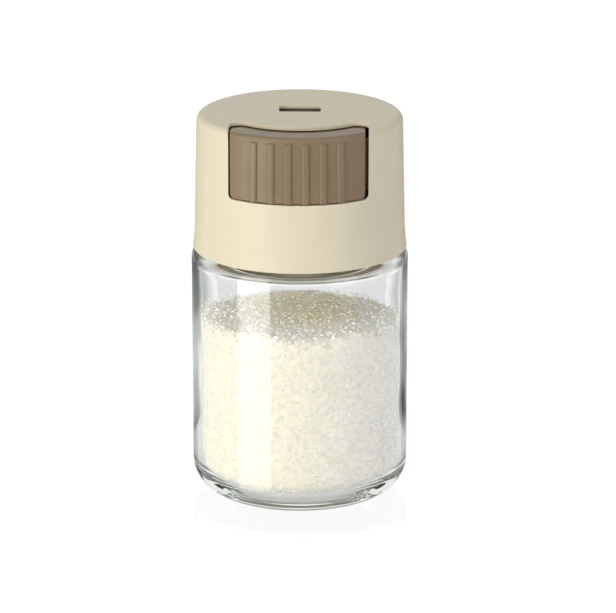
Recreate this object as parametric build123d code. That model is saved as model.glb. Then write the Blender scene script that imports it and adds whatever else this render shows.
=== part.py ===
from build123d import *
from math import cos, dist, radians, sin, sqrt
import os

# A table-top salt dispenser: a glass jar closed by a screw-on cap. A button in the front of the
# cap pushes a metering slider back against two springs, and each press lets out one dose.
# Millimetres, +Z up, the origin at the middle of the base, and the button on the -Y side.

# The glass jar
jar_radius = 30.0
jar_height = 70.0  # table to the flat of the shoulder
jar_wall = 2.3
jar_floor = 4.2
base_corner = 8.9
inner_corner = 6.0
foot_width = 3.1  # flat ring that the jar stands on
punt_rise = 1.0  # recess under the base
punt_slope = 3.0
shoulder_round = 2.5
shoulder_glass = 2.7
inner_shoulder_round = 3.0
throat_chamfer = 1.2
neck_inset = 5.4  # jar side to the outside of the neck
neck_height = 14.0
neck_wall = 3.4
lip_chamfer = 0.6

# The salt inside
salt_level = 50.6
salt_tilt = 2.6  # degrees, higher at the front
salt_gap = 0.15

# The cap shell
rim_gap = 0.5  # shoulder to the cap's rim
rim_inset = 0.4  # jar side to the cap's side at the rim
flare_height = 9.5
flare_width = 0.65
side_draft = 0.6  # how far the straight side leans in
crown_round = 2.0
shell_wall = 1.6
roof_thickness = 1.1
bead_height = 1.35  # ring that snaps under the collar
bead_hold = 0.2

# The window for the button
window_half_angle = 41.8  # degrees either side of the front
window_shift = 0.1  # the window lies this far to the right
window_corner = 1.3
notch_corner = 3.0
sill_rise = 1.5  # funnel disc to the window's sill

# What closes the jar
seal_thickness = 1.2
seal_width = 3.0
seal_inset = 0.2
collar_clearance = 0.3  # neck to the collar's bore
collar_gap = 0.15  # collar to the shell's wall
collar_drop = 11.7  # flange to the collar's lower edge
flange_thickness = 1.4
key_width = 2.0
key_depth = 1.25
key_seat = 1.3  # what each key bears on the disc with
key_clearance = 0.15
key_root = 0.55  # how far each key reaches into the wall
key_angles = (0, 60, 120, 180)

# The funnel tower
disc_thickness = 1.2
disc_inset = 1.1  # shell wall to the disc's edge
hopper_height = 10.3
hopper_wall = 1.2
hopper_ledge = 2.7  # mouth to the hopper's rim
bed_thickness = 1.0
bed_margin = 1.1
post_width = 4.8
post_thickness = 2.0
gusset_width = 1.2
gusset_reach = 5.0

# The metering slider and its pads
chamber_width = 11.0
chamber_length = 4.4
chamber_corner = 1.0
chamber_rest = -1.55  # middle of the chamber along Y at rest
slider_wall = 1.8
slider_height = 8.35
slider_clearance = 0.3
sealing_land = 0.8  # solid length between inlet and outlet
cover_land = 0.5
inlet_pad = 0.5
outlet_pad = 0.95
pad_clearance = 0.1
pad_border = 2.2
stem_width = 8.4
stem_height = 4.0
rail_thickness = 1.2
rail_margin = 0.8
outlet_width = 11.5
outlet_length = 7.35
outlet_margin = 0.45
outlet_corner = 0.5

# The push button
button_side_gap = 0.7
button_shift = -0.15  # the button sits this far to the left in its window
button_bottom_gap = 0.4
button_recess = 0.1  # behind the cap's side
button_drop = 0.2  # below the roof
button_wall = 1.5
button_edge_round = 1.0
button_corner = 2.6
crescent_width = 6.35
step_drop = 1.2  # crescent down to the tongue under the roof
tongue_overlap = 3.5
notch_clearance = 0.2
lug_width = 2.0
lug_clearance = 0.25
grip_count = 6
grip_pitch = 4.7
grip_width = 1.85
grip_depth = 1.6
grip_proud = 0.5
grip_round = 0.45
grip_top_gap = 1.6
socket_wall = 1.2
socket_depth = 7.0
socket_clearance = 0.1
stem_setback = 3.0  # cap side to the stem's end
tongue_clearance = 0.75

# The two return springs
spring_length = 13.0
spring_outside = 4.6
spring_wire = 0.35
spring_turns = 5
spring_end_gap = 0.1
wire_sides = 6
spring_rise = 3.0  # slider's underside to the spring's axis
peg_clearance = 0.3
peg_length = 2.5
boss_radius = 2.7
boss_rise = 0.4

# Heights, from the table up
lip_top = jar_height + neck_height
seal_top = lip_top + seal_thickness
flange_top = seal_top + flange_thickness
disc_top = flange_top + disc_thickness
bed_top = flange_top + hopper_height
slider_bottom = bed_top + inlet_pad + pad_clearance
slider_top = slider_bottom + slider_height
outlet_pad_bottom = slider_top + pad_clearance
roof_bottom = outlet_pad_bottom + outlet_pad
cap_top = roof_bottom + roof_thickness
rim_bottom = jar_height + rim_gap
flare_top = rim_bottom + flare_height
side_top = cap_top - crown_round
sill = disc_top + sill_rise
collar_bottom = flange_top - collar_drop

# Radii about the middle of the jar
neck_radius = jar_radius - neck_inset
mouth_radius = neck_radius - neck_wall
rim_radius = jar_radius - rim_inset
waist_radius = rim_radius - flare_width
crown_radius = waist_radius - side_draft
collar_bore = neck_radius + collar_clearance
button_arc = crown_radius - crescent_width


def side_radius(z):
    """Outer radius of the cap's straight side at a height."""
    share = (z - flare_top) / (side_top - flare_top)
    return waist_radius - side_draft * share


def arc_front(radius, x):
    """Y of the front of a circle about the jar's axis."""
    return -sqrt(radius**2 - x**2)


# Places along Y
stroke = chamber_length + sealing_land
chamber_front = chamber_rest - chamber_length / 2
outlet_front = chamber_front + stroke - outlet_margin
outlet_rear = outlet_front + outlet_length
slider_front = chamber_front - cover_land - stroke
slider_rear = outlet_rear + slider_wall
notch_shift = stroke + notch_clearance
tongue_shift = notch_shift + tongue_overlap

# Places along X
slider_half = chamber_width / 2 + slider_wall
rail_inner = slider_half + slider_clearance
rail_outer = rail_inner + rail_thickness
window_half = crown_radius * sin(radians(window_half_angle))
button_half = window_half - button_side_gap
rail_front = arc_front(button_arc, rail_outer) + tongue_shift + stroke + tongue_clearance
pad_front = arc_front(button_arc, slider_half) + tongue_shift + stroke + tongue_clearance
bed_front = slider_front + stroke - bed_margin
bed_rear = outlet_rear + pad_border
stem_front = arc_front(crown_radius - stem_setback, stem_width / 2)

# The button between its sill and the roof
button_bottom = sill + button_bottom_gap
button_top = cap_top - button_drop
tongue_top = button_top - step_drop
tongue_bottom = tongue_top - button_wall

# The springs, between the rails and the button's side walls
spring_x = (rail_outer + button_half - button_wall) / 2
spring_z = slider_bottom + spring_rise
stem_bottom = slider_bottom + (slider_height - stem_height) / 2
boss_face = arc_front(crown_radius - button_wall, spring_x + boss_radius) + boss_rise
post_face = boss_face + spring_length
peg_radius = spring_outside / 2 - spring_wire - peg_clearance


def block(x, y, z):
    """A box between two values along each axis."""
    size = (x[1] - x[0], y[1] - y[0], z[1] - z[0])
    middle = (sum(x) / 2, sum(y) / 2, sum(z) / 2)
    return Pos(*middle) * Box(*size)


def upright(outline, low, high):
    """A flat outline stood up between two heights."""
    return extrude(Pos(0, 0, low) * outline, high - low)


def rod(radius, start, length):
    """A round bar along +Y."""
    return extrude(Plane(start, z_dir=(0, 1, 0)) * Circle(radius), length)


def front_outline(half_width, middle, shift, corner):
    """Everything in front of the button's rear arc, moved back by a shift, seen from above."""
    depth = jar_radius + shift
    slab = Pos(middle, (shift - jar_radius) / 2) * Rectangle(2 * half_width, depth)
    outline = slab - Pos(0, shift) * Circle(button_arc)
    rear_corners = outline.vertices().sort_by(Axis.Y)[-2:]
    return fillet(rear_corners, corner)


def round_lower_sides(tool, radius):
    """Round the two lower edges that run front to back."""
    return fillet(tool.edges().filter_by(Axis.Y).group_by(Axis.Z)[0], radius)


def glass_jar():
    """Thick moulded glass, round base corner, short shoulder and a straight neck."""
    inner_radius = jar_radius - jar_wall
    foot_outer = jar_radius - base_corner
    foot_inner = foot_outer - foot_width
    inner_shoulder = jar_height - shoulder_glass
    with BuildPart() as jar:
        with BuildSketch(Plane.XZ):
            with BuildLine():
                Polyline(
                    (0, punt_rise), (foot_inner - punt_slope, punt_rise), (foot_inner, 0), (foot_outer, 0)
                )
                RadiusArc((foot_outer, 0), (jar_radius, base_corner), -base_corner)
                Line((jar_radius, base_corner), (jar_radius, jar_height - shoulder_round))
                RadiusArc(
                    (jar_radius, jar_height - shoulder_round),
                    (jar_radius - shoulder_round, jar_height),
                    -shoulder_round,
                )
                Polyline(
                    (jar_radius - shoulder_round, jar_height),
                    (neck_radius, jar_height),
                    (neck_radius, lip_top - lip_chamfer),
                    (neck_radius - lip_chamfer, lip_top),
                    (mouth_radius + lip_chamfer, lip_top),
                    (mouth_radius, lip_top - lip_chamfer),
                    (mouth_radius, inner_shoulder + throat_chamfer),
                    (mouth_radius + throat_chamfer, inner_shoulder),
                    (inner_radius - inner_shoulder_round, inner_shoulder),
                )
                RadiusArc(
                    (inner_radius - inner_shoulder_round, inner_shoulder),
                    (inner_radius, inner_shoulder - inner_shoulder_round),
                    inner_shoulder_round,
                )
                Line(
                    (inner_radius, inner_shoulder - inner_shoulder_round),
                    (inner_radius, jar_floor + inner_corner),
                )
                RadiusArc(
                    (inner_radius, jar_floor + inner_corner),
                    (inner_radius - inner_corner, jar_floor),
                    inner_corner,
                )
                Polyline((inner_radius - inner_corner, jar_floor), (0, jar_floor), (0, punt_rise))
            make_face()
        revolve(axis=Axis.Z)
    return jar.part


def salt_fill():
    """The salt, just clear of the glass, with its top sloping up to the front."""
    radius = jar_radius - jar_wall - salt_gap
    corner = inner_corner - salt_gap
    low = jar_floor + salt_gap
    level = salt_level + radius
    with BuildPart() as salt:
        with BuildSketch(Plane.XZ):
            with BuildLine():
                Line((0, low), (radius - corner, low))
                RadiusArc((radius - corner, low), (radius, low + corner), -corner)
                Polyline((radius, low + corner), (radius, level), (0, level), (0, low))
            make_face()
        revolve(axis=Axis.Z)
    surface = Plane((0, 0, salt_level), z_dir=(0, sin(radians(salt_tilt)), cos(radians(salt_tilt))))
    return split(salt.part, surface, keep=Keep.BOTTOM)


def lip_seal():
    """The silicone ring that the cap presses on the jar's lip."""
    inner = mouth_radius + seal_inset
    ring = Circle(inner + seal_width) - Circle(inner)
    return upright(ring, lip_top, seal_top)


def thread_collar():
    """The liner that grips the neck: a tapered ring with a flange over the lip, keyed to the shell."""
    low_radius = waist_radius - shell_wall - collar_gap
    top_radius = side_radius(flange_top) - shell_wall - collar_gap
    with BuildPart() as collar:
        with BuildSketch(Plane.XZ):
            Polygon(
                (collar_bore, collar_bottom),
                (low_radius, collar_bottom),
                (low_radius, flare_top),
                (top_radius, flange_top),
                (mouth_radius, flange_top),
                (mouth_radius, seal_top),
                (collar_bore, seal_top),
                align=None,
            )
        revolve(axis=Axis.Z)
    grooves = key_bars(
        waist_radius - shell_wall - key_depth - key_clearance,
        key_width / 2 + key_clearance,
        collar_bottom,
        flange_top,
    )
    return collar.part - grooves


def key_bars(inner, half_width, low, high):
    """Upright bars round the wall, from an inner radius out into the wall."""
    bar = block((inner, crown_radius - key_root), (-half_width, half_width), (low, high))
    return Part() + [Rot(0, 0, angle) * bar for angle in key_angles]


def slot(width, length, corner, front):
    """A rounded rectangle whose front edge lies at a given Y."""
    return Pos(0, front + length / 2) * RectangleRounded(width, length, corner)


def funnel_tower():
    """The disc over the neck, its hopper up to the slider's bed, and the two spring posts."""
    disc_radius = side_radius(flange_top) - shell_wall - disc_inset
    rim = mouth_radius - hopper_ledge
    throat = slot(chamber_width, chamber_length, chamber_corner, chamber_front)
    throat_outside = slot(
        chamber_width + 2 * hopper_wall,
        chamber_length + 2 * hopper_wall,
        chamber_corner + hopper_wall,
        chamber_front - hopper_wall,
    )
    lift = Pos(0, 0, bed_top)
    outside = loft([Pos(0, 0, flange_top) * Circle(rim + hopper_wall), lift * throat_outside])
    inside = loft([Pos(0, 0, flange_top) * Circle(rim), lift * throat])
    disc = upright(Circle(disc_radius), flange_top, disc_top)
    bed = block((-slider_half, slider_half), (bed_front, bed_rear), (bed_top - bed_thickness, bed_top))
    tower = disc + outside + bed
    for side in (-1, 1):
        tower += spring_post(side * spring_x)
    return tower - inside


def spring_post(x):
    """An upright that the spring pushes against, with a peg inside the spring and a gusset behind."""
    half = post_width / 2
    rear = post_face + post_thickness
    top = spring_z + half
    post = block((x - half, x + half), (post_face, rear), (flange_top, top))
    peg = rod(peg_radius, (x, post_face - peg_length, spring_z), peg_length)
    wedge = Polygon((rear, disc_top), (rear + gusset_reach, disc_top), (rear, top - half), align=None)
    side_view = Plane((x - gusset_width / 2, 0, 0), x_dir=(0, 1, 0), z_dir=(1, 0, 0))
    gusset = extrude(side_view * wedge, gusset_width)
    return post + peg + gusset


def inlet_seal():
    """The silicone pad between the hopper's bed and the slider."""
    pad = Pos(0, (bed_front + bed_rear) / 2) * Rectangle(2 * slider_half, bed_rear - bed_front)
    hole = slot(chamber_width, chamber_length, chamber_corner, chamber_front)
    return upright(pad - hole, bed_top, bed_top + inlet_pad)


def outlet_seal():
    """The silicone pad under the roof, round the outlet."""
    pad = Pos(0, (pad_front + bed_rear) / 2) * Rectangle(2 * slider_half, bed_rear - pad_front)
    hole = slot(outlet_width, outlet_length, outlet_corner, outlet_front)
    return upright(pad - hole, outlet_pad_bottom, roof_bottom)


def metering_slider():
    """The block that carries the dose, with a through chamber and a stem to the button."""
    body = block((-slider_half, slider_half), (slider_front, slider_rear), (slider_bottom, slider_top))
    body = fillet(body.edges().filter_by(Axis.Z), chamber_corner)
    opening = slot(chamber_width, chamber_length, chamber_corner, chamber_front)
    stem = block(
        (-stem_width / 2, stem_width / 2),
        (stem_front, slider_front + slider_wall),
        (stem_bottom, stem_bottom + stem_height),
    )
    return body + stem - upright(opening, slider_bottom, slider_top)


def button_turned(inset, low, high, edge):
    """A solid turned to the cap's side, a given distance inside it, with a rounded upper edge."""
    with BuildPart() as turned:
        with BuildSketch(Plane.XZ):
            with BuildLine():
                low_radius = side_radius(low) - inset
                high_radius = side_radius(high) - inset
                Polyline(
                    (high_radius - edge, high),
                    (0, high),
                    (0, low),
                    (low_radius, low),
                    (high_radius, high - edge),
                )
                RadiusArc((high_radius, high - edge), (high_radius - edge, high), -edge)
            make_face()
        revolve(axis=Axis.Z)
    return turned.part


def push_button():
    """The thumb button: a hollow curved cover, a tongue under the roof and lugs behind the window."""
    middle = button_shift
    left, right = middle - button_half, middle + button_half
    blank = button_turned(button_recess, button_bottom, button_top, button_edge_round)
    outline = front_outline(button_half, middle, 0, button_corner)
    cover = blank & round_lower_sides(upright(outline, button_bottom, button_top), button_edge_round)
    tongue = blank & upright(
        front_outline(button_half, middle, tongue_shift, button_corner), tongue_bottom, tongue_top
    )
    core_radius = crown_radius - button_recess - button_wall
    core = upright(Circle(core_radius), button_bottom + button_wall, tongue_bottom)
    core = core & block(
        (left + button_wall, right - button_wall),
        (-jar_radius, jar_radius),
        (button_bottom + button_wall, tongue_bottom),
    )
    button = cover + tongue - core
    lug_outer = side_radius(side_top) - shell_wall - lug_clearance
    lug_ring = Circle(lug_outer) - Circle(lug_outer - button_wall)
    lug_ring = upright(lug_ring, button_bottom + button_wall, tongue_bottom)
    reach = button_half + lug_width
    front = (-jar_radius, 0)
    heights = (button_bottom, tongue_top)
    button += lug_ring & block((middle - reach, left + button_wall / 2), front, heights)
    button += lug_ring & block((right - button_wall / 2, middle + reach), front, heights)
    for side in (-1, 1):
        button += spring_boss(side * spring_x) & blank
    button += stem_socket() & blank
    button -= stem_pocket()
    for index in range(grip_count):
        button += grip_bar(middle + (index - (grip_count - 1) / 2) * grip_pitch)
    return button


def spring_boss(x):
    """A round seat on the button's inside, with a peg that goes into the spring."""
    seat_start = arc_front(crown_radius, x) + button_wall / 2
    seat = rod(boss_radius, (x, seat_start, spring_z), boss_face - seat_start)
    return seat + rod(peg_radius, (x, boss_face, spring_z), peg_length)


def stem_socket():
    """The box inside the button that takes the slider's stem."""
    front = arc_front(crown_radius, 0) + button_wall / 2
    half = stem_width / 2 + socket_wall
    heights = (stem_bottom - socket_wall, stem_bottom + stem_height + socket_wall)
    return block((-half, half), (front, front + socket_depth), heights)


def stem_pocket():
    """The hole in that box, a little larger than the stem."""
    half = stem_width / 2 + socket_clearance
    heights = (stem_bottom - socket_clearance, stem_bottom + stem_height + socket_clearance)
    return block((-half, half), (stem_front - socket_clearance, 0), heights)


def grip_bar(x):
    """One raised bar of the grip: a low flat strip, square to the curve, with rounded edges and top."""
    across = x / side_radius(button_bottom)
    outward = (across, -sqrt(1 - across**2))
    sunk = grip_depth / 2 - grip_proud + button_recess
    low, high = (
        (outward[0] * (side_radius(z) - sunk), outward[1] * (side_radius(z) - sunk), z)
        for z in (button_bottom, button_top - grip_top_gap)
    )
    direction = [end - start for start, end in zip(low, high)]
    section = Plane(low, x_dir=(-outward[1], outward[0], 0), z_dir=direction)
    bar = extrude(section * Rectangle(grip_width, grip_depth), dist(low, high))
    front = bar.faces().sort_by(Axis.Y)[0]
    bar = fillet(front.edges().sort_by(Axis.Z)[1:], grip_round)
    return bar & block((x - grip_pitch, x + grip_pitch), (-2 * jar_radius, 0), (button_bottom, cap_top))


def return_spring(x):
    """One coil spring along Y, between the button's seat and the tower's post."""
    radius = (spring_outside - spring_wire) / 2
    rise = spring_length - spring_wire - 2 * spring_end_gap
    start = (x, boss_face + spring_wire / 2 + spring_end_gap, spring_z)
    path = Helix(rise / spring_turns, rise, radius, center=start, direction=(0, 1, 0))
    section = Plane(path @ 0, z_dir=path % 0) * RegularPolygon(spring_wire / 2, wire_sides)
    return sweep(section, path=path, is_frenet=True), path


def least_gap(path):
    """The least space between neighbouring turns of a spring, on points along its wire."""
    steps_a_turn = 24
    steps = spring_turns * steps_a_turn
    points = [tuple(path @ (step / steps)) for step in range(steps + 1)]
    apart = [
        dist(points[first], points[second])
        for first in range(len(points))
        for second in range(first + steps_a_turn // 2, len(points))
    ]
    return min(apart) - spring_wire


def cap_profile():
    """The shell's wall and roof: flared rim, straight drafted side and rounded crown."""
    flare_middle = (waist_radius + flare_width / 4, rim_bottom + flare_height / 2)
    with BuildPart() as shell:
        with BuildSketch(Plane.XZ):
            with BuildLine():
                ThreePointArc((rim_radius, rim_bottom), flare_middle, (waist_radius, flare_top))
                Line((waist_radius, flare_top), (crown_radius, side_top))
                RadiusArc((crown_radius, side_top), (crown_radius - crown_round, cap_top), -crown_round)
                inner_top = side_radius(roof_bottom) - shell_wall
                Polyline(
                    (crown_radius - crown_round, cap_top),
                    (0, cap_top),
                    (0, roof_bottom),
                    (inner_top, roof_bottom),
                    (waist_radius - shell_wall, flare_top),
                    (rim_radius - shell_wall, rim_bottom),
                    (rim_radius, rim_bottom),
                )
            make_face()
        revolve(axis=Axis.Z)
    return shell.part


def cap_shell():
    """The outer moulding: wall and roof, window and notch for the button, outlet, rails and keys."""
    shell = cap_profile()
    key_inner = waist_radius - shell_wall - key_depth
    shell += key_bars(key_inner, key_width / 2, collar_bottom, roof_bottom)
    shell += key_bars(key_inner - key_seat, key_width / 2, disc_top + pad_clearance / 2, roof_bottom)
    wall = rim_radius - shell_wall
    crest = waist_radius - shell_wall - collar_gap - bead_hold
    top = collar_bottom - collar_gap
    with BuildPart() as bead:
        with BuildSketch(Plane.XZ):
            Polygon(
                (wall, top - bead_height),
                (crest, top - bead_height / 3),
                (crest, top),
                (wall, top),
                align=None,
            )
        revolve(axis=Axis.Z)
    shell += bead.part
    for x in ((-rail_outer, -rail_inner), (rail_inner, rail_outer)):
        shell += block(x, (rail_front, slider_rear + stroke + rail_margin), (slider_bottom, roof_bottom))
    window = upright(
        front_outline(window_half, window_shift, notch_shift, notch_corner), sill, cap_top + roof_thickness
    )
    shell -= round_lower_sides(window, window_corner)
    outlet = slot(outlet_width, outlet_length, outlet_corner, outlet_front)
    return shell - upright(outlet, roof_bottom, cap_top)


left_spring, left_path = return_spring(-spring_x)
right_spring, right_path = return_spring(spring_x)
print("least gap between a spring's turns", round(min(least_gap(left_path), least_gap(right_path)), 2))
print("dose volume in cubic millimetres", round(chamber_width * chamber_length * slider_height))

pieces = {
    "glass_jar": glass_jar(),
    "salt_fill": salt_fill(),
    "lip_seal": lip_seal(),
    "thread_collar": thread_collar(),
    "funnel_tower": funnel_tower(),
    "inlet_seal": inlet_seal(),
    "outlet_seal": outlet_seal(),
    "metering_slider": metering_slider(),
    "push_button": push_button(),
    "return_spring_left": left_spring,
    "return_spring_right": right_spring,
    "cap_shell": cap_shell(),
}

os.makedirs("parts", exist_ok=True)
for name, piece in pieces.items():
    export_step(piece, f"parts/{name}.step")
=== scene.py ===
import math
import random

import bmesh
import bpy
from mathutils import Euler, Matrix, Vector, noise


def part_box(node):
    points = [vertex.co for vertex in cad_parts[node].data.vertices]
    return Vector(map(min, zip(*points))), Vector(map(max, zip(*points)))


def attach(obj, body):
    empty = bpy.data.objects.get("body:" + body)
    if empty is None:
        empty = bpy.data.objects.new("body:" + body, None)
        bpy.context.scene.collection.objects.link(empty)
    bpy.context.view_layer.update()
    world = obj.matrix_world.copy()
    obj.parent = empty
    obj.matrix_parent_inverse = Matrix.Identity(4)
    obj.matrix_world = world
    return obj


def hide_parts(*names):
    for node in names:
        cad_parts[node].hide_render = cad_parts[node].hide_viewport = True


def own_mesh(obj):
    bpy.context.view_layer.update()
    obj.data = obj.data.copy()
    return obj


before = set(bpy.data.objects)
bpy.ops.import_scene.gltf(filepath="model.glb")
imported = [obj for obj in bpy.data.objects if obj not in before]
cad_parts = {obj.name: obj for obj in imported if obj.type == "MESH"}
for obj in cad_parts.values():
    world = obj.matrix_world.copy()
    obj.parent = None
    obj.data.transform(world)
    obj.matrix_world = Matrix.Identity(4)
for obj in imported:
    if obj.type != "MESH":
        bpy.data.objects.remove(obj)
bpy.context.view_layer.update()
mm = 0.001

# The glass jar
# Pressed soda-lime glass with a heavy base, a short shoulder and a neck with a right-hand thread.
# It comes from the mould in one piece, and its inside wall is a little uneven.
jar_radius, _, lip_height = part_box("glass_jar")[1]
jar_wall = 2.3 * mm
jar_inside = jar_radius - jar_wall
jar_floor = 4.2 * mm
shoulder_height = 70.4 * mm
shoulder_glass = 2.55 * mm
shoulder_underside = shoulder_height - shoulder_glass
neck_root = 23.8 * mm
neck_crest = 24.5 * mm
mouth_radius = 21.2 * mm
foot_radius = 18 * mm
recess_radius = 15 * mm
recess_height = 1 * mm
foot_round = 0.6 * mm
recess_round = 0.8 * mm
base_round = 8.9 * mm
shoulder_round = 3 * mm
neck_round = 0.8 * mm
lip_round = 0.9 * mm
mouth_round = 1.2 * mm
inside_shoulder_round = 2.2 * mm
inside_floor_round = 6 * mm
turn_steps = 192
fewest_round_steps = 4
long_run = 8 * mm
merge_distance = 0.001 * mm
smooth_angle = math.radians(38)


def turned_outline(corners, long_cuts=0):
    """Spin an outline of (radius, height, round) corners about Z. Long straight runs may be cut."""
    bm = bmesh.new()
    points = [bm.verts.new((radius, 0, height)) for radius, height, _ in corners]
    for start, end in zip(points, points[1:]):
        bm.edges.new((start, end))
    for point, (_, _, rounding) in zip(points, corners):
        if rounding:
            steps = fewest_round_steps + int(rounding / mm)
            bmesh.ops.bevel(
                bm, geom=[point], offset=rounding, segments=steps, profile=0.5,
                affect="VERTICES", material=-1,
            )
    if long_cuts:
        long_runs = [edge for edge in bm.edges if edge.calc_length() > long_run]
        bmesh.ops.subdivide_edges(bm, edges=long_runs, cuts=long_cuts)
    bmesh.ops.spin(
        bm, geom=bm.verts[:] + bm.edges[:], axis=(0, 0, 1), angle=2 * math.pi,
        steps=turn_steps, use_merge=True,
    )
    bmesh.ops.remove_doubles(bm, verts=bm.verts, dist=merge_distance)
    bmesh.ops.recalc_face_normals(bm, faces=bm.faces)
    return bm


def smooth_but_for_corners(mesh):
    """Shade a mesh smooth, except where two faces meet sharply."""
    mesh.shade_smooth()
    mesh.set_sharp_from_angle(angle=smooth_angle)


def as_object(name, bm):
    """Put a bmesh into the scene."""
    mesh = bpy.data.meshes.new(name)
    bm.to_mesh(mesh)
    bm.free()
    smooth_but_for_corners(mesh)
    piece = bpy.data.objects.new(name, mesh)
    bpy.context.collection.objects.link(piece)
    return piece


def apply_modifiers(piece):
    """Keep what the modifiers make as the piece's own mesh."""
    shape = piece.evaluated_get(bpy.context.evaluated_depsgraph_get())
    piece.data = bpy.data.meshes.new_from_object(shape)
    piece.modifiers.clear()
    smooth_but_for_corners(piece.data)


wave_depth = 0.22 * mm
wave_scale = 75
wave_fade = 6.2 * mm
wave_stop = 3 * mm
wave_top = shoulder_underside - wave_stop
wave_margin = 0.1 * mm


def uneven_inside(bm):
    """Push the inside wall out by a smooth, small amount that fades away over the floor's corner."""
    for vert in bm.verts:
        x, y, z = vert.co
        radius = math.hypot(x, y)
        on_wall = jar_inside - wave_fade < radius < jar_inside + wave_margin
        if on_wall and jar_floor - wave_margin < z < wave_top:
            share = min(1, (radius - jar_inside + wave_fade) / wave_fade)
            push = wave_depth * share * (0.5 + 0.5 * noise.noise(vert.co * wave_scale))
            vert.co.x += x / radius * push
            vert.co.y += y / radius * push


thread_start = 75 * mm
thread_pitch = 4 * mm
thread_turns = 1.4
thread_fade_turns = 1 / 12
thread_foot = 1.1 * mm
thread_top = 0.45 * mm
thread_ease = 0.15 * mm
thread_sunk = 0.4 * mm


def screw_thread():
    """A rounded ridge wound up the neck, drawn in at both ends."""
    bm = bmesh.new()
    section = (
        (neck_root - thread_sunk, -thread_foot),
        (neck_crest - thread_ease, -thread_top),
        (neck_crest, 0),
        (neck_crest - thread_ease, thread_top),
        (neck_root - thread_sunk, thread_foot),
    )
    points = [bm.verts.new((radius, 0, thread_start + rise)) for radius, rise in section]
    for start, end in zip(points, points[1:] + points[:1]):
        bm.edges.new((start, end))
    steps = int(turn_steps * thread_turns)
    bmesh.ops.spin(
        bm, geom=bm.verts[:] + bm.edges[:], axis=(0, 0, 1), angle=2 * math.pi * thread_turns,
        dvec=(0, 0, thread_pitch * thread_turns / steps), steps=steps,
    )
    fade_steps = round(turn_steps * thread_fade_turns)
    for index, vert in enumerate(bm.verts):
        step = index // len(section)
        left = min(step, steps - step) / fade_steps
        if left < 1:
            radius = math.hypot(vert.co.x, vert.co.y)
            pulled = radius - (neck_crest - neck_root) * (1 - left) ** 2
            vert.co.x *= pulled / radius
            vert.co.y *= pulled / radius
    bmesh.ops.holes_fill(bm, edges=[edge for edge in bm.edges if edge.is_boundary])
    bmesh.ops.recalc_face_normals(bm, faces=bm.faces)
    return bm


def shader_nodes(name):
    """A new material, with its node tree and its Principled shader."""
    material = bpy.data.materials.new(name)
    material.use_nodes = True
    tree = material.node_tree
    return material, tree, tree.nodes["Principled BSDF"]


def feed(tree, socket, value):
    """Give an input a plain value, or link it where the value is another node's output."""
    if isinstance(value, bpy.types.NodeSocket):
        tree.links.new(value, socket)
    else:
        socket.default_value = value


def own_place(tree):
    """Each point's place on its own piece, in metres."""
    return tree.nodes.new("ShaderNodeTexCoord").outputs["Object"]


def noise_at(tree, place, scale, detail):
    """Cloudy noise from 0 to 1."""
    clouds = tree.nodes.new("ShaderNodeTexNoise")
    clouds.inputs["Scale"].default_value = scale
    clouds.inputs["Detail"].default_value = detail
    tree.links.new(place, clouds.inputs["Vector"])
    return clouds.outputs["Fac"]


def relief(tree, height, depth, strength=1, inverted=False):
    """A normal that shows relief of a depth, and of a strength from 0 to 1."""
    bump = tree.nodes.new("ShaderNodeBump")
    bump.invert = inverted
    bump.inputs["Distance"].default_value = depth
    feed(tree, bump.inputs["Strength"], strength)
    tree.links.new(height, bump.inputs["Height"])
    return bump.outputs["Normal"]


def mixed_shader(tree, share, first, second):
    """The first shader where the share is 0, and the second where it is 1."""
    either = tree.nodes.new("ShaderNodeMixShader")
    for socket, value in zip(either.inputs, (share, first, second)):
        tree.links.new(value, socket)
    return either.outputs["Shader"]


def pressed_glass():
    """Clear glass with a slight ripple and a green tint in its depth, which lets the lamps' light in."""
    material, tree, shader = shader_nodes("pressed_glass")
    shader.inputs["Base Color"].default_value = (0.985, 0.995, 0.99, 1)
    shader.inputs["Roughness"].default_value = 0
    shader.inputs["IOR"].default_value = 1.5
    shader.inputs["Transmission Weight"].default_value = 1
    ripple = noise_at(tree, own_place(tree), scale=90, detail=1)
    tree.links.new(relief(tree, ripple, depth=0.12 * mm, strength=0.35), shader.inputs["Normal"])
    lamplight = tree.nodes.new("ShaderNodeBsdfTransparent")
    lamplight.inputs["Color"].default_value = (0.9, 0.91, 0.905, 1)
    tint = tree.nodes.new("ShaderNodeVolumeAbsorption")
    tint.inputs["Color"].default_value = (0.84, 0.88, 0.82, 1)
    tint.inputs["Density"].default_value = 14
    from_lamps = tree.nodes.new("ShaderNodeLightPath").outputs["Is Shadow Ray"]
    surface = mixed_shader(tree, from_lamps, shader.outputs["BSDF"], lamplight.outputs["BSDF"])
    made = tree.nodes["Material Output"].inputs
    tree.links.new(surface, made["Surface"])
    tree.links.new(tint.outputs["Volume"], made["Volume"])
    return material


jar_outline = (
    (0, recess_height, 0),
    (recess_radius, recess_height, recess_round),
    (foot_radius, 0, foot_round),
    (jar_radius, 0, base_round),
    (jar_radius, shoulder_height, shoulder_round),
    (neck_root, shoulder_height, neck_round),
    (neck_root, lip_height, lip_round),
    (mouth_radius, lip_height, lip_round),
    (mouth_radius, shoulder_underside, mouth_round),
    (jar_inside, shoulder_underside, inside_shoulder_round),
    (jar_inside, jar_floor, inside_floor_round),
    (0, jar_floor, 0),
)
jar_mesh = turned_outline(jar_outline, long_cuts=14)
uneven_inside(jar_mesh)
jar = as_object("jar", jar_mesh)
thread_ridge = as_object("thread_ridge", screw_thread())
one_glass = jar.modifiers.new("one_glass", "BOOLEAN")
one_glass.operation = "UNION"
one_glass.object = thread_ridge
apply_modifiers(jar)
bpy.data.objects.remove(thread_ridge)
jar.data.materials.append(pressed_glass())
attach(jar, "jar")
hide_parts("glass_jar")

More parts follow.
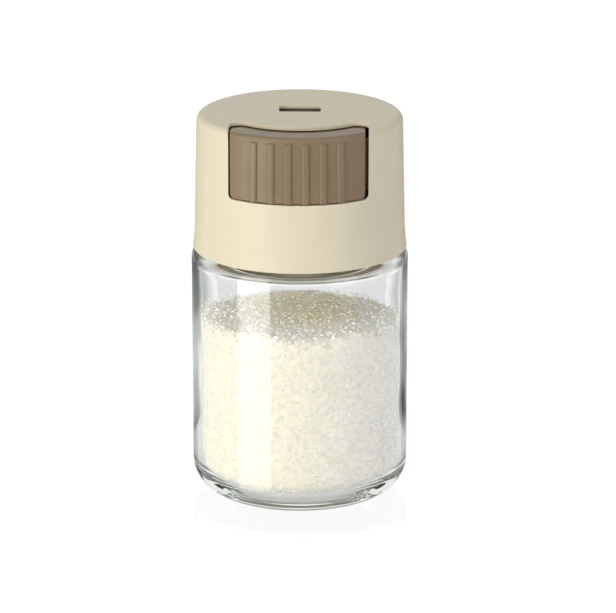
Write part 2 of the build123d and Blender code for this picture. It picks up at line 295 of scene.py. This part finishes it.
# The salt
# Coarse table salt, poured in loose, so its surface is a low slope and its outer crystals lie
# against the glass. A packed bed fills the jar, and loose crystals stand out of it.
salt_floor_gap = 0.1 * mm
salt_wall_gap = 0.08 * mm
salt_floor = jar_floor + salt_floor_gap
salt_radius = jar_inside - salt_wall_gap
salt_corner = 5.9 * mm
salt_level = 51 * mm
salt_slope = math.tan(math.radians(0.8))
salt_top_middle = (2 * mm, 6 * mm, salt_level)
hump_height = 1.1 * mm
hump_scale = 70
ripple_height = 0.4 * mm
ripple_scale = 260
ripple_layer = 3
bed_inset = 0.26 * mm
crystal_reach = 0.6 * mm
heap_round = 2.6 * mm


def salt_height(x, y):
    """Height of the salt's surface: a slope up to the front, with soft humps."""
    humps = noise.noise(Vector((x * hump_scale, y * hump_scale, 0))) * hump_height
    ripples = noise.noise(Vector((x * ripple_scale, y * ripple_scale, ripple_layer))) * ripple_height
    return salt_level - y * salt_slope + humps + ripples


def shader_group(name, inputs, outputs):
    """An empty shader group with named sockets, with what it is given and what it makes."""
    group = bpy.data.node_groups.new(name, "ShaderNodeTree")
    for socket, kind in inputs.items():
        group.interface.new_socket(socket, in_out="INPUT", socket_type=f"NodeSocket{kind}")
    for socket, kind in outputs.items():
        group.interface.new_socket(socket, in_out="OUTPUT", socket_type=f"NodeSocket{kind}")
    given = group.nodes.new("NodeGroupInput").outputs
    made = group.nodes.new("NodeGroupOutput").inputs
    return group, given, made


def calculated(tree, operation, *values):
    """What a sum of plain values and other nodes' outputs comes to."""
    sum_node = tree.nodes.new("ShaderNodeMath")
    sum_node.operation = operation
    for socket, value in zip(sum_node.inputs, values):
        feed(tree, socket, value)
    return sum_node.outputs["Value"]


def in_range(tree, value, low, high, to_low=0, to_high=1, soft=False):
    """A value moved from the range low to high into another one, and held at its ends."""
    moved = tree.nodes.new("ShaderNodeMapRange")
    if soft:
        moved.interpolation_type = "SMOOTHSTEP"
    moved.inputs["From Min"].default_value = low
    moved.inputs["From Max"].default_value = high
    feed(tree, moved.inputs["To Min"], to_low)
    feed(tree, moved.inputs["To Max"], to_high)
    tree.links.new(value, moved.inputs["Value"])
    return moved.outputs["Result"]


def blend(tree, share, first, second):
    """The first colour where the share is 0, and the second where it is 1."""
    mixed = tree.nodes.new("ShaderNodeMix")
    mixed.data_type = "RGBA"
    tree.links.new(share, mixed.inputs["Factor"])
    feed(tree, mixed.inputs["A"], first)
    feed(tree, mixed.inputs["B"], second)
    return mixed.outputs["Result"]


def toned(tree, colour, strength):
    """A colour made lighter or darker."""
    scaled = tree.nodes.new("ShaderNodeVectorMath")
    scaled.operation = "SCALE"
    tree.links.new(colour, scaled.inputs[0])
    tree.links.new(strength, scaled.inputs["Scale"])
    return scaled.outputs["Vector"]


def distance_from(tree, place, middle):
    """How far a place is from a fixed one."""
    apart = tree.nodes.new("ShaderNodeVectorMath")
    apart.operation = "DISTANCE"
    apart.inputs[1].default_value = middle
    tree.links.new(place, apart.inputs[0])
    return apart.outputs["Value"]


def along_axes(tree, place):
    """A place's X, Y and Z."""
    parts = tree.nodes.new("ShaderNodeSeparateXYZ")
    tree.links.new(place, parts.inputs["Vector"])
    return parts.outputs


def salt_light_and_tone_group():
    """A shader group for the salt's colour, mostly painted light and shade: lit yellow-white on the left
    side, a painted lilac shade on the right, and a painted olive shade on the top, under the cap.
    Only the lighter and darker clumps are the salt's own tone.
    """
    colours = ("Side left", "Side right", "Top middle", "Top edge")
    inputs = {"Place": "Vector"} | {colour: "Color" for colour in colours}
    group, given, made = shader_group("salt_light_and_tone", inputs, {"Colour": "Color"})

    def patchy(value, low, high, scale, spread):
        """A soft step from 0 at low to 1 at high, made uneven by noise of a spread."""
        patches = noise_at(group, given["Place"], scale, detail=4)
        uneven = calculated(group, "MULTIPLY_ADD", patches, spread, value)
        return in_range(group, uneven, low=low + spread / 2, high=high + spread / 2, soft=True)

    across = along_axes(group, given["Place"])["X"]
    height = along_axes(group, given["Place"])["Z"]
    off_middle = distance_from(group, given["Place"], salt_top_middle)
    bed_end = salt_level - 3.2 * mm
    top_start = salt_level + 1.4 * mm
    # Painted light: the sides go from lit on the left to a painted shade on the right.
    rightward = patchy(across, low=-4 * mm, high=24 * mm, scale=90, spread=14 * mm)
    # Painted shade: the top is darkest in its middle, under the cap, and lighter towards its edge.
    outward = patchy(off_middle, low=9 * mm, high=25 * mm, scale=260, spread=26 * mm)
    # Painted shade: near its surface the salt takes the top's darker colours.
    upward = patchy(height, low=bed_end, high=top_start, scale=330, spread=6 * mm)
    side = blend(group, rightward, given["Side left"], given["Side right"])
    top = blend(group, outward, given["Top middle"], given["Top edge"])
    clumps = noise_at(group, given["Place"], scale=700, detail=2)
    lightness = in_range(group, clumps, low=0.35, high=0.65, to_low=0.91, to_high=1.03)
    group.links.new(toned(group, blend(group, upward, side, top), lightness), made["Colour"])
    return group


salt_light_and_tone = salt_light_and_tone_group()


def salt_finish(name, roughness, tone_and_glint_lift, relief_depth=0):
    """Salt of one roughness and lightness, with a relief of packed crystals where it has a depth. A
    lightness lift above 1 paints the crystals lighter, as painted glints.
    """
    material, tree, shader = shader_nodes(name)
    place = own_place(tree)
    tone = tree.nodes.new("ShaderNodeGroup")
    tone.node_tree = salt_light_and_tone
    # Painted light and shade: a lit yellow-white left side, a painted lilac shade on the right side, a
    # painted olive shade in the top's middle, and a lighter top edge.
    for socket, colour in (
        ("Side left", (0.85, 0.81, 0.67)),
        ("Side right", (0.94, 0.89, 0.81)),
        ("Top middle", (0.74, 0.65, 0.38)),
        ("Top edge", (0.96, 0.91, 0.77)),
    ):
        tone.inputs[socket].default_value = (*(min(1, value * tone_and_glint_lift) for value in colour), 1)
    tree.links.new(place, tone.inputs["Place"])
    tree.links.new(tone.outputs["Colour"], shader.inputs["Base Color"])
    shader.inputs["Roughness"].default_value = roughness
    shader.inputs["IOR"].default_value = 1.54
    shader.inputs["Subsurface Weight"].default_value = 0.5
    shader.inputs["Subsurface Radius"].default_value = (1, 0.95, 0.85)
    shader.inputs["Subsurface Scale"].default_value = 1 * mm
    if relief_depth:
        cells = tree.nodes.new("ShaderNodeTexVoronoi")
        cells.inputs["Scale"].default_value = 1000
        tree.links.new(place, cells.inputs["Vector"])
        packed = relief(tree, cells.outputs["Distance"], relief_depth, inverted=True)
        tree.links.new(packed, shader.inputs["Normal"])
    return material


bed_mesh = turned_outline(
    (
        (0, salt_floor + bed_inset, 0),
        (salt_radius - bed_inset, salt_floor + bed_inset, salt_corner - bed_inset),
        (salt_radius - bed_inset, salt_level, heap_round),
        (0, salt_level, 0),
    ),
    long_cuts=24,
)
for vert in bed_mesh.verts:
    share = (vert.co.z - salt_floor) / (salt_level - salt_floor)
    surface = salt_height(vert.co.x, vert.co.y) - bed_inset
    vert.co.z = salt_floor + (surface - salt_floor) * share
salt_bed = as_object("salt_bed", bed_mesh)
salt_bed.data.materials.append(
    salt_finish("packed_salt", roughness=0.45, tone_and_glint_lift=0.97, relief_depth=0.06 * mm)
)
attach(salt_bed, "jar")
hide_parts("salt_fill")


def glass_spot(chance):
    """A spot where salt meets the glass, and the way out through the glass there."""
    angle = chance.uniform(0, 2 * math.pi)
    bend = salt_corner * math.pi / 2
    top = salt_height(salt_radius * math.cos(angle), salt_radius * math.sin(angle))
    wall = bend + top - salt_floor - salt_corner
    along = chance.uniform(0, wall) + chance.expovariate(1 / crystal_reach)
    dip = max(0, math.pi / 2 - along / salt_corner)
    radius = salt_radius - salt_corner * (1 - math.cos(dip))
    height = salt_floor + salt_corner * (1 - math.sin(dip)) + max(0, along - bend)
    across = Vector((math.cos(angle), math.sin(angle), 0))
    spot = across * radius + Vector((0, 0, height))
    return spot, across * math.cos(dip) - Vector((0, 0, math.sin(dip)))


def surface_spot(chance):
    """A spot on the sloping surface, and the way up."""
    angle = chance.uniform(0, 2 * math.pi)
    radius = (salt_radius - crystal_reach) * math.sqrt(chance.random())
    x, y = radius * math.cos(angle), radius * math.sin(angle)
    sunk = max(0, radius + heap_round - salt_radius)
    drop = heap_round - math.sqrt(heap_round**2 - sunk**2)
    return Vector((x, y, salt_height(x, y) - drop)), Vector((0, 0, 1))


sharp_cube = 1.6
sharp_bevel = 0.25
slimmest_crystal = 0.55


def one_crystal(worn):
    """A worn crystal is a rough ball, and a sharp one a cube with its edges cut off."""
    bm = bmesh.new()
    if worn:
        bmesh.ops.create_icosphere(bm, subdivisions=1, radius=1)
    else:
        bmesh.ops.create_cube(bm, size=sharp_cube)
        bmesh.ops.bevel(
            bm, geom=bm.edges[:], offset=sharp_bevel, segments=1, profile=0.5,
            affect="EDGES", material=-1,
        )
    return bm


def crystals(name, count, spot_of, depth, sizes, worn):
    """Many small crystals: copies of one, each stretched, turned and laid at its spot.

    A crystal is sunk by a share of its half size, drawn from the range of depth. The count is also
    the seed of the draws.
    """
    chance = random.Random(count)
    heap = as_object(name, one_crystal(worn))
    copies = heap.modifiers.new("copies", "ARRAY")
    copies.count = count
    copies.use_relative_offset = False
    apply_modifiers(heap)
    corners = heap.data.vertices
    each = len(corners) // count
    for index in range(count):
        spot, outward = spot_of(chance)
        turn = Euler([chance.uniform(0, math.pi) for _ in range(3)]).to_matrix()
        size = chance.uniform(*sizes)
        halves = [size / 2 * chance.uniform(slimmest_crystal, 1) for _ in range(3)]
        reach = math.hypot(*(half * turn.col[axis].dot(outward) for axis, half in enumerate(halves)))
        put = Matrix.Translation(spot - outward * reach * chance.uniform(*depth))
        put = put @ turn.to_4x4() @ Matrix.Diagonal(halves + [1])
        for corner in range(index * each, index * each + each):
            corners[corner].co = put @ corners[corner].co
    if worn:
        heap.data.shade_smooth()
    else:
        heap.data.shade_flat()
    return heap


# Painted glints: the sharp crystals are made 1.3 times lighter than the rest, and the bed a little darker.
loose_finish = salt_finish("salt_crystals", roughness=0.15, tone_and_glint_lift=1)
sharp_finish = salt_finish("sharp_crystals", roughness=0.06, tone_and_glint_lift=1.3)
sharp_shader = sharp_finish.node_tree.nodes["Principled BSDF"]
sharp_shader.inputs["IOR"].default_value = 1.8
sharp_shader.inputs["Specular IOR Level"].default_value = 1
for name, count, spot_of, depth, sizes, worn, finish in (
    ("worn_crystals_side", 4000, glass_spot, (1.02, 1.3), (0.55 * mm, 1.05 * mm), True, loose_finish),
    ("worn_crystals_top", 900, surface_spot, (0.7, 1.1), (1 * mm, 2 * mm), True, loose_finish),
    ("sharp_crystals_side", 2600, glass_spot, (1, 1.03), (0.5 * mm, 1 * mm), False, sharp_finish),
    ("sharp_crystals_top", 420, surface_spot, (0.4, 0.85), (0.8 * mm, 1.5 * mm), False, sharp_finish),
):
    heap = crystals(name, count, spot_of, depth, sizes, worn)
    heap.data.materials.append(finish)
    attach(heap, "jar")

# The moulded cap: shell, collar, funnel tower and slider
# Injection moulded plastic parts. The shell is cream with a satin, spark-eroded skin, and the parts
# inside are white or brown, with the collar tinted tan as painted shade for the dim inside of the cap.
# Their shapes come from the frame, with every edge eased here.


def moulded_skin_group():
    """A shader group for moulded plastic: cloudy colour, fine grain and uneven gloss."""
    inputs = {"Place": "Vector", "Colour": "Color"}
    inputs |= {amount: "Float" for amount in ("Cloudiness", "Grain", "Gloss low", "Gloss high")}
    outputs = {"Colour": "Color", "Roughness": "Float", "Normal": "Vector"}
    group, given, made = shader_group("moulded_skin", inputs, outputs)
    clouds = noise_at(group, given["Place"], scale=110, detail=3)
    swing = in_range(group, clouds, low=0.3, high=0.7, to_low=-1)
    strength = calculated(group, "MULTIPLY_ADD", swing, given["Cloudiness"], 1)
    pits = noise_at(group, given["Place"], scale=3200, detail=2)
    rubbed = noise_at(group, given["Place"], scale=260, detail=4)
    gloss = in_range(
        group, rubbed, low=0.35, high=0.65, to_low=given["Gloss low"], to_high=given["Gloss high"]
    )
    group.links.new(toned(group, given["Colour"], strength), made["Colour"])
    group.links.new(gloss, made["Roughness"])
    group.links.new(relief(group, pits, 0.03 * mm, given["Grain"]), made["Normal"])
    return group


moulded_skin = moulded_skin_group()


def moulded(name, colour, cloudiness=0.03, grain=0.25, gloss=(0.4, 0.5), shine=0.3):
    """A moulded plastic of one colour. The gloss is a range of roughness."""
    material, tree, shader = shader_nodes(name)
    skin = tree.nodes.new("ShaderNodeGroup")
    skin.node_tree = moulded_skin
    skin.inputs["Colour"].default_value = (*colour, 1)
    skin.inputs["Cloudiness"].default_value = cloudiness
    skin.inputs["Grain"].default_value = grain
    skin.inputs["Gloss low"].default_value = gloss[0]
    skin.inputs["Gloss high"].default_value = gloss[1]
    tree.links.new(own_place(tree), skin.inputs["Place"])
    tree.links.new(skin.outputs["Colour"], shader.inputs["Base Color"])
    tree.links.new(skin.outputs["Roughness"], shader.inputs["Roughness"])
    tree.links.new(skin.outputs["Normal"], shader.inputs["Normal"])
    shader.inputs["Specular IOR Level"].default_value = shine
    return material


def ease_edges(node, width):
    """Round a moulded node's sharp edges by a small width, as a worn mould leaves them."""
    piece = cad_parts[node]
    weld = piece.modifiers.new("weld", "WELD")
    weld.merge_threshold = 0.002 * mm
    flat = piece.modifiers.new("flat", "DECIMATE")
    flat.decimate_type = "DISSOLVE"
    flat.angle_limit = math.radians(0.6)
    bevel = piece.modifiers.new("eased", "BEVEL")
    bevel.limit_method = "ANGLE"
    bevel.angle_limit = math.radians(35)
    bevel.width = width
    bevel.segments = 2
    bevel.use_clamp_overlap = False
    even = piece.modifiers.new("even", "WEIGHTED_NORMAL")
    even.keep_sharp = True


def finish_node(node, material):
    """Give a node of the frame its finish."""
    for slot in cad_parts[node].material_slots:
        slot.link = "DATA"
        slot.material = material


cream_plastic = moulded(
    "cream_plastic", (0.8, 0.715, 0.525), cloudiness=0.015, grain=0.3, gloss=(0.42, 0.5)
)
white_plastic = moulded("white_plastic", (0.84, 0.84, 0.81))
# Painted shade: the collar is tinted tan and darker so that it looks dim under the cap.
shaded_liner_plastic = moulded("shaded_liner_plastic", (0.72, 0.53, 0.24))
brown_plastic = moulded(
    "brown_plastic", (0.255, 0.181, 0.107), grain=0.2, gloss=(0.32, 0.4), shine=0.25
)
for node, edge_width, plastic in (
    ("cap_shell", 0.2 * mm, cream_plastic),
    ("thread_collar", 0.12 * mm, shaded_liner_plastic),
    ("funnel_tower", 0.12 * mm, white_plastic),
    ("metering_slider", 0.15 * mm, brown_plastic),
):
    ease_edges(node, edge_width)
    finish_node(node, plastic)

# The silicone seals
# Cut from soft sheet: a ring between the collar and the jar's lip, and two pads that the slider
# runs between. Silicone is matte, a little see-through and picks up dust. The ring's tan and the
# outlet pad's near black are painted shade.
dust_cover = 0.2
dust_grey = 0.6


def silicone(name, colour):
    """Soft matte rubber with a dusty bloom."""
    material, tree, shader = shader_nodes(name)
    dusty = [(1 - dust_cover) * value + dust_cover * dust_grey for value in colour]
    dust = noise_at(tree, own_place(tree), scale=700, detail=5)
    tree.links.new(blend(tree, dust, (*colour, 1), (*dusty, 1)), shader.inputs["Base Color"])
    shader.inputs["Roughness"].default_value = 0.6
    return material


# Painted shade: the lip ring is tinted tan so that it looks dim under the cap.
finish_node("lip_seal", silicone("shade_tinted_silicone", (0.72, 0.55, 0.32)))
finish_node("inlet_seal", silicone("pale_silicone", (0.7, 0.7, 0.67)))
# Painted shade: the outlet pad is near black so that the slot under the outlet looks dark.
finish_node("outlet_seal", silicone("brown_silicone", (0.05, 0.035, 0.022)))

# The return springs
# Hard-drawn steel wire, wound and cut square. They sit on pegs between the button and the posts, and
# close up towards the posts as the button goes in.
spring_wire = 0.35 * mm
spring_turns = 5
spring_turn_steps = 28
spring_wire_sides = 10


def drawn_steel():
    """Bright wire with fine marks of its drawing."""
    material, tree, shader = shader_nodes("spring_steel")
    marks = noise_at(tree, own_place(tree), scale=4000, detail=2)
    roughness = in_range(tree, marks, low=0, high=1, to_low=0.22, to_high=0.42)
    tree.links.new(roughness, shader.inputs["Roughness"])
    shader.inputs["Base Color"].default_value = (0.55, 0.55, 0.56, 1)
    shader.inputs["Metallic"].default_value = 1
    return material


def coil_spring(name, low, high):
    """A round wire wound along Y, from one end of a box to the other."""
    middle = (low + high) / 2
    steps = spring_turns * spring_turn_steps
    bm = bmesh.new()
    bmesh.ops.create_circle(bm, segments=spring_wire_sides, radius=spring_wire / 2)
    start = Vector((high.x - spring_wire / 2, low.y + spring_wire / 2, middle.z))
    bmesh.ops.translate(bm, verts=bm.verts, vec=start)
    bmesh.ops.spin(
        bm, geom=bm.verts[:] + bm.edges[:], cent=middle, axis=(0, 1, 0),
        angle=2 * math.pi * spring_turns, dvec=(0, (high.y - low.y - spring_wire) / steps, 0), steps=steps,
    )
    bmesh.ops.holes_fill(bm, edges=[edge for edge in bm.edges if edge.is_boundary])
    bmesh.ops.recalc_face_normals(bm, faces=bm.faces)
    return as_object(name, bm)


spring_steel = drawn_steel()
for side in ("left", "right"):
    low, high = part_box(f"return_spring_{side}")
    spring = coil_spring(f"spring_{side}", low, high)
    spring.data.materials.append(spring_steel)
    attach(spring, "cap")
    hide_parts(f"return_spring_{side}")
    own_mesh(spring)

# The push button
# A hollow brown moulding with six raised grip bars. Its crescent top is flush with the roof, and a
# thin tongue behind it slides under the roof and closes the gap.
grip_count = 6
grip_middle = -0.15 * mm
grip_pitch = 4.7 * mm
grip_width = 1.9 * mm
grip_depth = 1.66 * mm
grip_round = 0.47 * mm
grip_low = 89.7 * mm
grip_high = 106.23 * mm
grip_low_radius = 28.33 * mm
grip_high_radius = 27.95 * mm


def grip_bar(name, x):
    """One bar of the grip, upright on the button's curved face, with rounded edges and top."""
    across = x / grip_low_radius
    outward = Vector((across, -math.sqrt(1 - across**2), 0))
    low = outward * grip_low_radius + Vector((0, 0, grip_low))
    high = outward * grip_high_radius + Vector((0, 0, grip_high))
    along = high - low
    bm = bmesh.new()
    bmesh.ops.create_cube(bm, size=1)
    bmesh.ops.scale(bm, verts=bm.verts, vec=(grip_width, grip_depth, along.length))
    front = min(bm.faces, key=lambda face: face.calc_center_median().y)
    foot = min(front.edges, key=lambda edge: edge.verts[0].co.z + edge.verts[1].co.z)
    bmesh.ops.bevel(
        bm, geom=[edge for edge in front.edges if edge != foot], offset=grip_round, segments=5,
        profile=0.5, affect="EDGES", material=-1, clamp_overlap=True,
    )
    side = along.normalized().cross(outward).normalized()
    inward = -side.cross(along).normalized()
    turn = Matrix((side, inward, along.normalized())).transposed().to_4x4()
    bmesh.ops.transform(bm, verts=bm.verts, matrix=Matrix.Translation((low + high) / 2) @ turn)
    bmesh.ops.recalc_face_normals(bm, faces=bm.faces)
    return as_object(name, bm)


ease_edges("push_button", 0.15 * mm)
finish_node("push_button", brown_plastic)
for index in range(grip_count):
    grip_place = grip_middle + (index - (grip_count - 1) / 2) * grip_pitch
    bar = grip_bar(f"grip_bar_{index + 1}", grip_place)
    bar.data.materials.append(brown_plastic)
    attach(bar, "button")

# The table
# A wide sheet of white acrylic. It looks plain white, with a faint mirror image in front of the jar
# and a grey shade under it that is seen through the glass.
table_half_width = 3
polish = 0.16
camera_share = 0.97


def white_acrylic():
    """Matte to soft light, and white where the camera, or a look through glass, meets it."""
    material, tree, shader = shader_nodes("white_table")
    shader.inputs["Base Color"].default_value = (0.85, 0.85, 0.85, 1)
    shader.inputs["Roughness"].default_value = 0.3
    white = tree.nodes.new("ShaderNodeEmission")
    white.inputs["Strength"].default_value = 1.08
    mirror = tree.nodes.new("ShaderNodeBsdfGlossy")
    mirror.inputs["Roughness"].default_value = 0.06
    place = own_place(tree)
    from_jar = distance_from(tree, place, (0, 0, 0))
    aside = calculated(tree, "ABSOLUTE", along_axes(tree, place)["X"])
    near = in_range(tree, from_jar, low=36 * mm, high=56 * mm, to_low=polish, to_high=0, soft=True)
    in_front = in_range(tree, aside, low=32 * mm, high=37 * mm, to_low=1, to_high=0, soft=True)
    polish_share = calculated(tree, "MULTIPLY", near, in_front)
    seen = mixed_shader(tree, polish_share, white.outputs["Emission"], mirror.outputs["BSDF"])
    rays = tree.nodes.new("ShaderNodeLightPath").outputs
    open_table = in_range(tree, from_jar, low=24 * mm, high=60 * mm, to_low=0.26, to_high=0.4, soft=True)
    through_glass = calculated(tree, "MULTIPLY", rays["Is Transmission Ray"], open_table)
    seen_share = calculated(tree, "MULTIPLY_ADD", rays["Is Camera Ray"], camera_share, through_glass)
    surface = mixed_shader(tree, seen_share, shader.outputs["BSDF"], seen)
    tree.links.new(surface, tree.nodes["Material Output"].inputs["Surface"])
    return material


table_mesh = bmesh.new()
bmesh.ops.create_grid(table_mesh, x_segments=1, y_segments=1, size=table_half_width)
table = as_object("table", table_mesh)
table.data.materials.append(white_acrylic())
table.visible_glossy = False

# The studio's room and lamps
# A white room that fills the shadows with a pale blue light. One large soft lamp stands at the front
# left, and a weaker one at the front right.


def white_room():
    """The world: pale blue where it gives soft light, and white, grey far below, where it is seen."""
    world = bpy.data.worlds.new("studio")
    world.use_nodes = True
    tree = world.node_tree
    fill = tree.nodes["Background"]
    fill.inputs["Color"].default_value = (0.88, 0.94, 1, 1)
    fill.inputs["Strength"].default_value = 0.44
    white = tree.nodes.new("ShaderNodeBackground")
    white.inputs["Color"].default_value = (1, 1, 1, 1)
    direction = tree.nodes.new("ShaderNodeTexCoord").outputs["Generated"]
    upward = along_axes(tree, direction)["Z"]
    brightness = in_range(tree, upward, low=-0.85, high=-0.4, to_low=0.3, soft=True)
    tree.links.new(brightness, white.inputs["Strength"])
    rays = tree.nodes.new("ShaderNodeLightPath").outputs
    direct = calculated(tree, "MAXIMUM", rays["Is Camera Ray"], rays["Is Glossy Ray"])
    seen = calculated(tree, "MAXIMUM", direct, rays["Is Transmission Ray"])
    room = mixed_shader(tree, seen, fill.outputs["Background"], white.outputs["Background"])
    tree.links.new(room, tree.nodes["World Output"].inputs["Surface"])
    return world


bpy.context.scene.world = white_room()
look_at = Vector((0, 0, 55 * mm))


def softbox(name, azimuth, elevation, distance, width, height, energy, colour):
    """A rectangular soft lamp, aimed at the object. Azimuth 0 is the camera's side, left is minus."""
    across, up = math.radians(azimuth), math.radians(elevation)
    away = Vector((math.sin(across) * math.cos(up), -math.cos(across) * math.cos(up), math.sin(up)))
    lamp = bpy.data.objects.new(name, bpy.data.lights.new(name, "AREA"))
    lamp.data.shape = "RECTANGLE"
    lamp.data.size = width
    lamp.data.size_y = height
    lamp.data.energy = energy
    lamp.data.color = colour
    lamp.location = look_at + away * distance
    lamp.rotation_euler = (-away).to_track_quat("-Z", "Y").to_euler()
    bpy.context.collection.objects.link(lamp)


softbox(
    "key", azimuth=-48, elevation=18, distance=0.9, width=0.5, height=0.7,
    energy=4.7, colour=(1, 0.97, 0.9),
)
softbox(
    "right_fill", azimuth=48, elevation=15, distance=1.1, width=0.6, height=0.8,
    energy=2.65, colour=(0.98, 0.94, 1),
)

# The strip
# A bright card at the front left, below the key lamp, which the jar mirrors as a tall pale stripe.
# Its glow changes with height, so that the stripe suits both the bright salt and the clear glass.
strip_azimuth = math.radians(-48.5)
strip_elevation = math.radians(-17)
strip_distance = 0.8
strip_width = 0.52
strip_height = 0.55
strip_strength = 12
strip_shades = ((-0.19, 0.31), (-0.18, 0.62), (-0.166, 0.6), (-0.156, 0.52))


def studio_card(name, width, height, stand):
    """A flat card, seen neither by the camera nor by soft light, with a glow of no colour yet."""
    bm = bmesh.new()
    bmesh.ops.create_grid(bm, x_segments=1, y_segments=1, size=0.5)
    bmesh.ops.scale(bm, verts=bm.verts, vec=(width, height, 1))
    bmesh.ops.transform(bm, verts=bm.verts, matrix=stand)
    card = as_object(name, bm)
    material = bpy.data.materials.new(name)
    material.use_nodes = True
    tree = material.node_tree
    tree.nodes.clear()
    glow = tree.nodes.new("ShaderNodeEmission")
    made = tree.nodes.new("ShaderNodeOutputMaterial")
    tree.links.new(glow.outputs["Emission"], made.inputs["Surface"])
    card.data.materials.append(material)
    card.visible_camera = False
    card.visible_diffuse = False
    card.visible_shadow = False
    return card, tree, glow


def graded(tree, height, low, high, shades, tint=(1, 1, 1)):
    """A colour that changes with height, from (height, grey) pairs from low to high."""
    ramp = tree.nodes.new("ShaderNodeValToRGB")
    ramp.color_ramp.interpolation = "EASE"
    stops = ramp.color_ramp.elements
    for level, _ in shades[2:]:
        stops.new((level - low) / (high - low))
    for stop, (level, shade) in zip(stops, shades):
        stop.position = (level - low) / (high - low)
        stop.color = (*(shade * part for part in tint), 1)
    tree.links.new(in_range(tree, height, low, high), ramp.inputs["Fac"])
    return ramp.outputs["Color"]


strip_aim = Matrix.Rotation(strip_azimuth, 3, "Z") @ Matrix.Rotation(-strip_elevation, 3, "X")
strip_away = strip_aim @ Vector((0, -1, 0))
strip_turn = (-strip_away).to_track_quat("-Z", "Y").to_matrix().to_4x4()
strip_stand = Matrix.Translation(look_at + strip_away * strip_distance) @ strip_turn
strip, strip_tree, strip_glow = studio_card("strip", strip_width, strip_height, strip_stand)
strip.visible_transmission = False
strip_rise = along_axes(strip_tree, own_place(strip_tree))["Z"]
strip_colour = graded(strip_tree, strip_rise, low=-0.45, high=0.1, shades=strip_shades)
strip_tree.links.new(strip_colour, strip_glow.inputs["Color"])
strip_glow.inputs["Strength"].default_value = strip_strength

# The flags
# Grey cards that stand upright behind the jar, to its left and right. The camera does not see them.
# The glass does, and draws them as the dark lines along its sides.
flag_softness = 12 * mm
flag_edge = 30 * mm
flag_back = 45 * mm
flag_tint = (0.94, 1, 0.96)
flag_white = (1, 1, 1, 1)


def flag(name, reach, low, high, shades):
    """A grey card with soft sides, which reaches outwards: to the left where its reach is minus.

    The shades are (height, grey) pairs, from the card's lower end up.
    """
    half_width = abs(reach) / 2
    middle = Vector((reach / 2 + math.copysign(flag_edge, reach), flag_back, (low + high) / 2))
    stand = Matrix.Translation(middle) @ Matrix.Rotation(math.pi / 2, 4, "X")
    _, tree, glow = studio_card(name, abs(reach), high - low, stand)
    parts = along_axes(tree, own_place(tree))
    aside = calculated(tree, "ABSOLUTE", calculated(tree, "SUBTRACT", parts["X"], middle.x))
    fade = in_range(tree, aside, low=half_width - flag_softness, high=half_width, soft=True)
    grey = graded(tree, parts["Z"], low, high, shades, flag_tint)
    tree.links.new(blend(tree, fade, grey, flag_white), glow.inputs["Color"])


flag(
    "left_high_flag", reach=-60 * mm, low=22 * mm, high=130 * mm,
    shades=((22 * mm, 0.6), (29 * mm, 0.5), (36 * mm, 0.22), (60 * mm, 0.12)),
)
flag(
    "left_low_flag", reach=-46 * mm, low=-30 * mm, high=22 * mm,
    shades=((-2 * mm, 0.22), (8 * mm, 0.42), (22 * mm, 0.6)),
)
flag(
    "right_flag", reach=44 * mm, low=-30 * mm, high=120 * mm,
    shades=(
        (-2 * mm, 0.45), (6 * mm, 0.06), (18 * mm, 0.3),
        (29 * mm, 0.2), (38 * mm, 0.34), (60 * mm, 0.15),
    ),
)

# The camera
# Where the photograph was taken from: in front, a little above, with a long lens. Light that goes
# round inside thick glass takes many turns before it comes out, so it may bounce often.
camera_turn = math.radians(1.1)
camera_tilt = math.radians(72.82)
camera_place = Vector((2.27 * mm, -950 * mm, 346 * mm))
camera = bpy.data.objects.new("camera", bpy.data.cameras.new("camera"))
bpy.context.collection.objects.link(camera)
camera.location = Matrix.Rotation(camera_turn, 4, "Z") @ camera_place
camera.rotation_euler = (camera_tilt, 0, camera_turn)
camera.data.sensor_width = 36
camera.data.lens = 208.6
camera.data.clip_start = 0.01
camera.data.clip_end = 20
bpy.context.scene.camera = camera
bpy.context.scene.view_settings.view_transform = "Standard"
bpy.context.scene.cycles.max_bounces = 32
bpy.context.scene.cycles.glossy_bounces = 24
bpy.context.scene.cycles.transmission_bounces = 32
